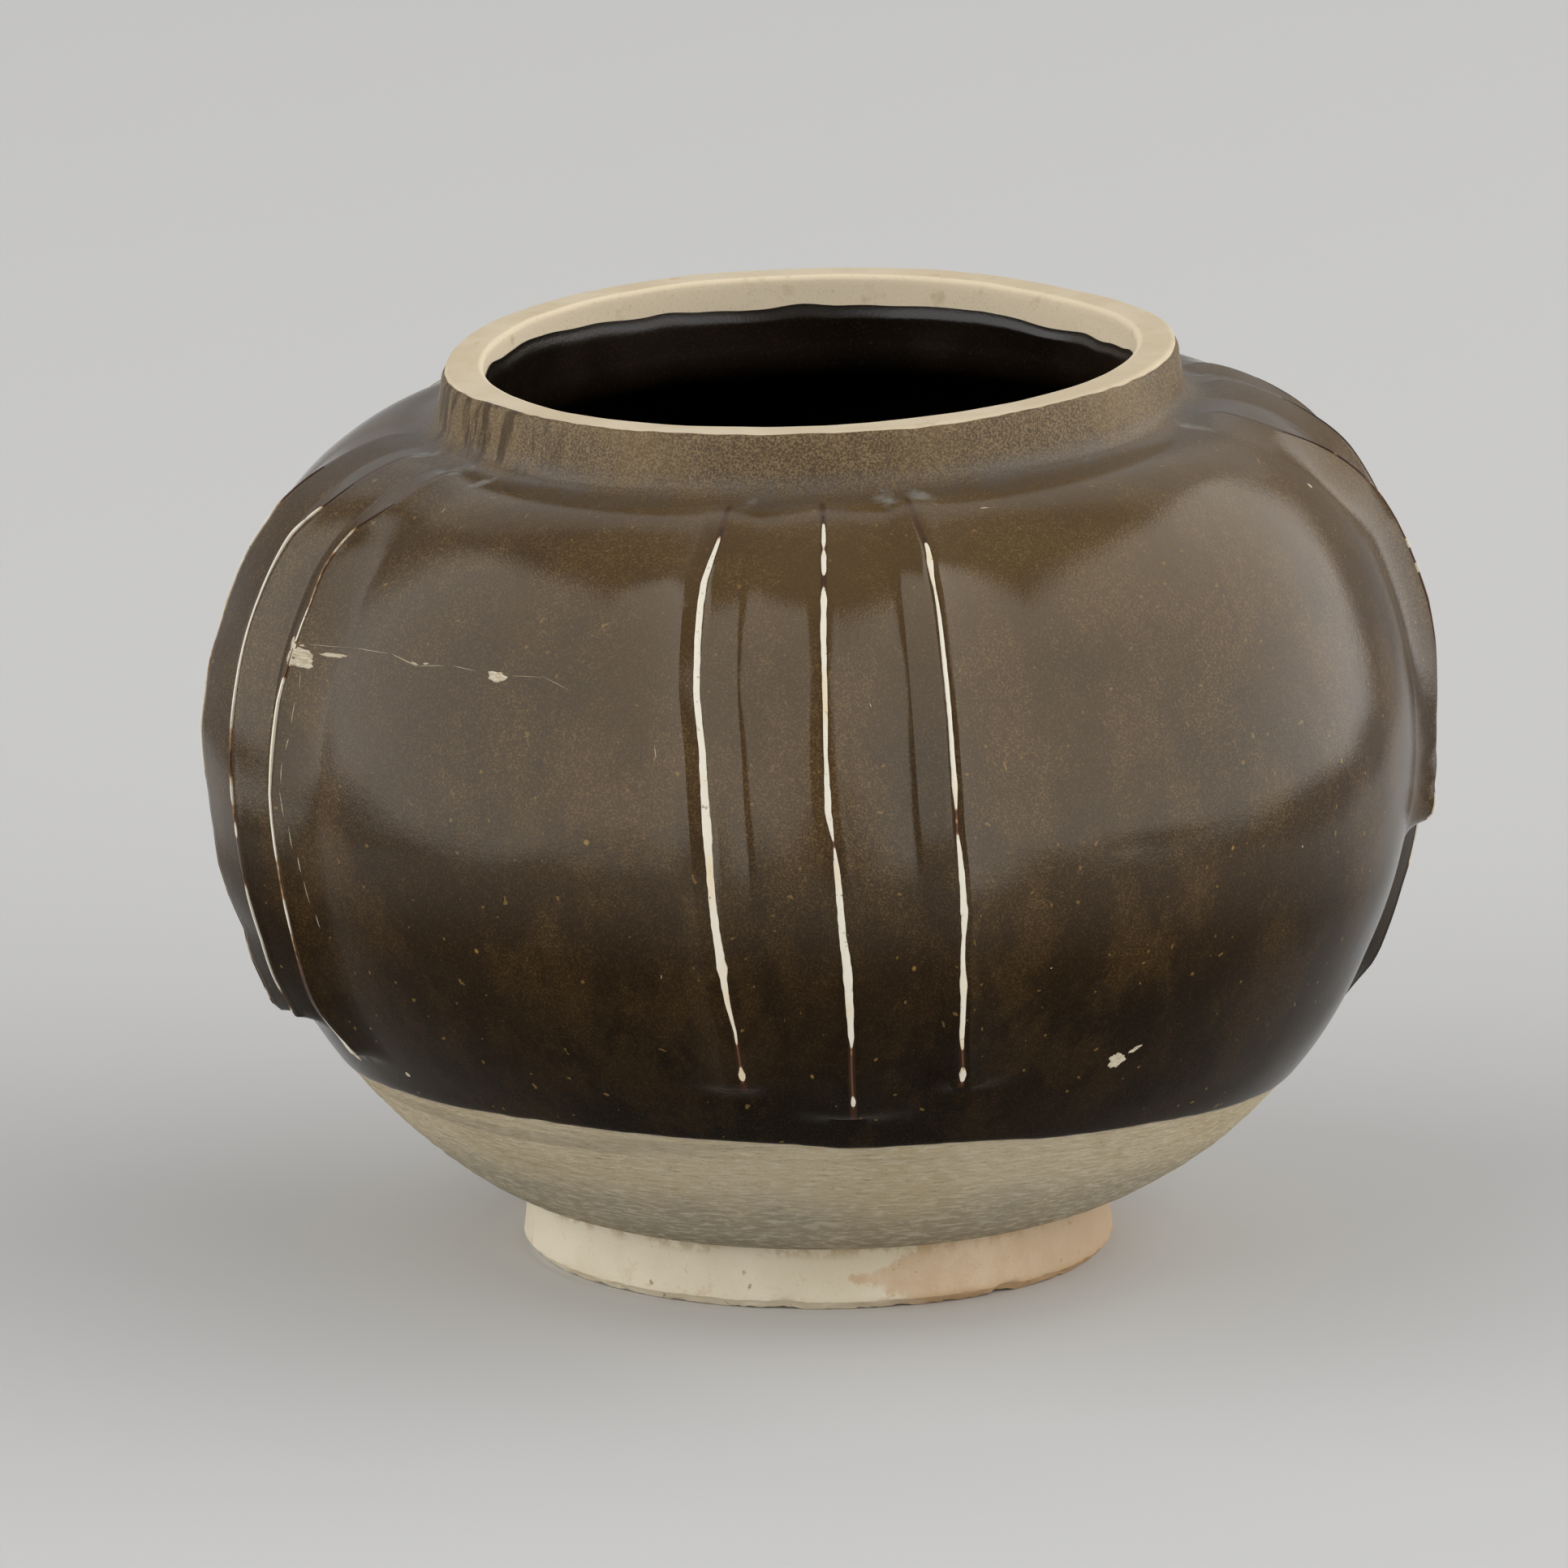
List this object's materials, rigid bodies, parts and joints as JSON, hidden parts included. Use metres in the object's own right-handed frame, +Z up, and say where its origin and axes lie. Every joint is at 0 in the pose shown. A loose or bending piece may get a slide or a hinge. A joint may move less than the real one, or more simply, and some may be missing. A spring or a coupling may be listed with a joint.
{
  "type": "ribbed stoneware jar",
  "caption": "Squat globular stoneware jar with a short upright collar, dark brown glaze, groups of white-slip ribs and a bare turned foot.",
  "frame": {"origin": "on the jar's axis, on the plane that its foot ring stands on", "axes": "+Z up along the jar's axis; -Y is the front, with one group of ribs in the middle; +X is the right seen from the front"},
  "size_m": [0.1846, 0.1838, 0.1382],
  "materials": {
    "bare_stoneware": "unglazed, matt, with trimming marks",
    "pale_stoneware": "unglazed, matt, wiped smooth",
    "brown_glaze": "satin gloss dark brown with fine ochre speckle",
    "white_slip": "white slip, thinly glazed, satin"
  },
  "bodies": {
    "root": {"body_wall": "bare_stoneware", "neck_collar": "pale_stoneware", "foot_ring": "pale_stoneware", "outer_glaze": "brown_glaze", "inner_glaze": "brown_glaze", "slip_rib_front_1": "white_slip", "slip_rib_front_2": "white_slip", "slip_rib_front_3": "white_slip", "slip_rib_right_1": "white_slip", "slip_rib_right_2": "white_slip", "slip_rib_right_3": "white_slip", "slip_rib_back_right_1": "white_slip", "slip_rib_back_right_2": "white_slip", "slip_rib_back_right_3": "white_slip", "slip_rib_back_left_1": "white_slip", "slip_rib_back_left_2": "white_slip", "slip_rib_back_left_3": "white_slip", "slip_rib_left_1": "white_slip", "slip_rib_left_2": "white_slip", "slip_rib_left_3": "white_slip"}
  },
  "joints": []
}
